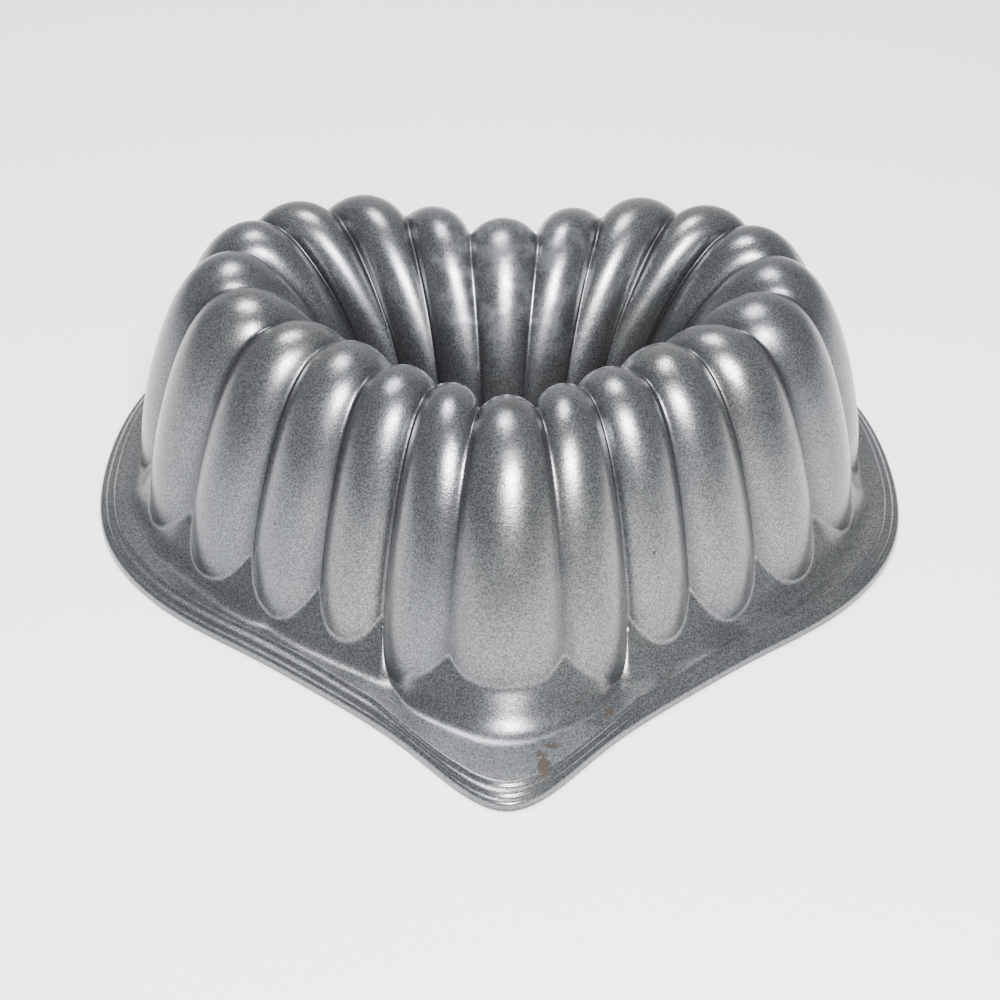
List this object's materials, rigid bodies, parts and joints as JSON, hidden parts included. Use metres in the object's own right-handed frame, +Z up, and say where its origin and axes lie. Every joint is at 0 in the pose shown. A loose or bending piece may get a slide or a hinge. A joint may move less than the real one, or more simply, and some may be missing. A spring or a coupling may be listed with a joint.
{
  "type": "bundt pan",
  "caption": "Heart-shaped fluted ring cake pan with a central funnel tube, flat rim flange and sloping facets, standing mouth down on its rim.",
  "frame": {"origin": "centre of the pan's outline on the rim plane, which it stands on when upside down", "axes": "+Z up, from the rim to the crown of the flutes; the point of the heart is towards -Y and its lobes towards +Y; X = 0 is the mirror plane"},
  "size_m": [0.27, 0.2492, 0.0847],
  "materials": {
    "bare_aluminium": "as cast, seen only at the rim face, the tube's end and where the enamel is chipped",
    "silver_enamel": "satin silver enamel with fine metal flake",
    "nonstick": "dark satin non-stick coating"
  },
  "bodies": {
    "root": {"pan_casting": "bare_aluminium", "exterior_enamel": "silver_enamel", "nonstick_lining": "nonstick"}
  },
  "joints": []
}
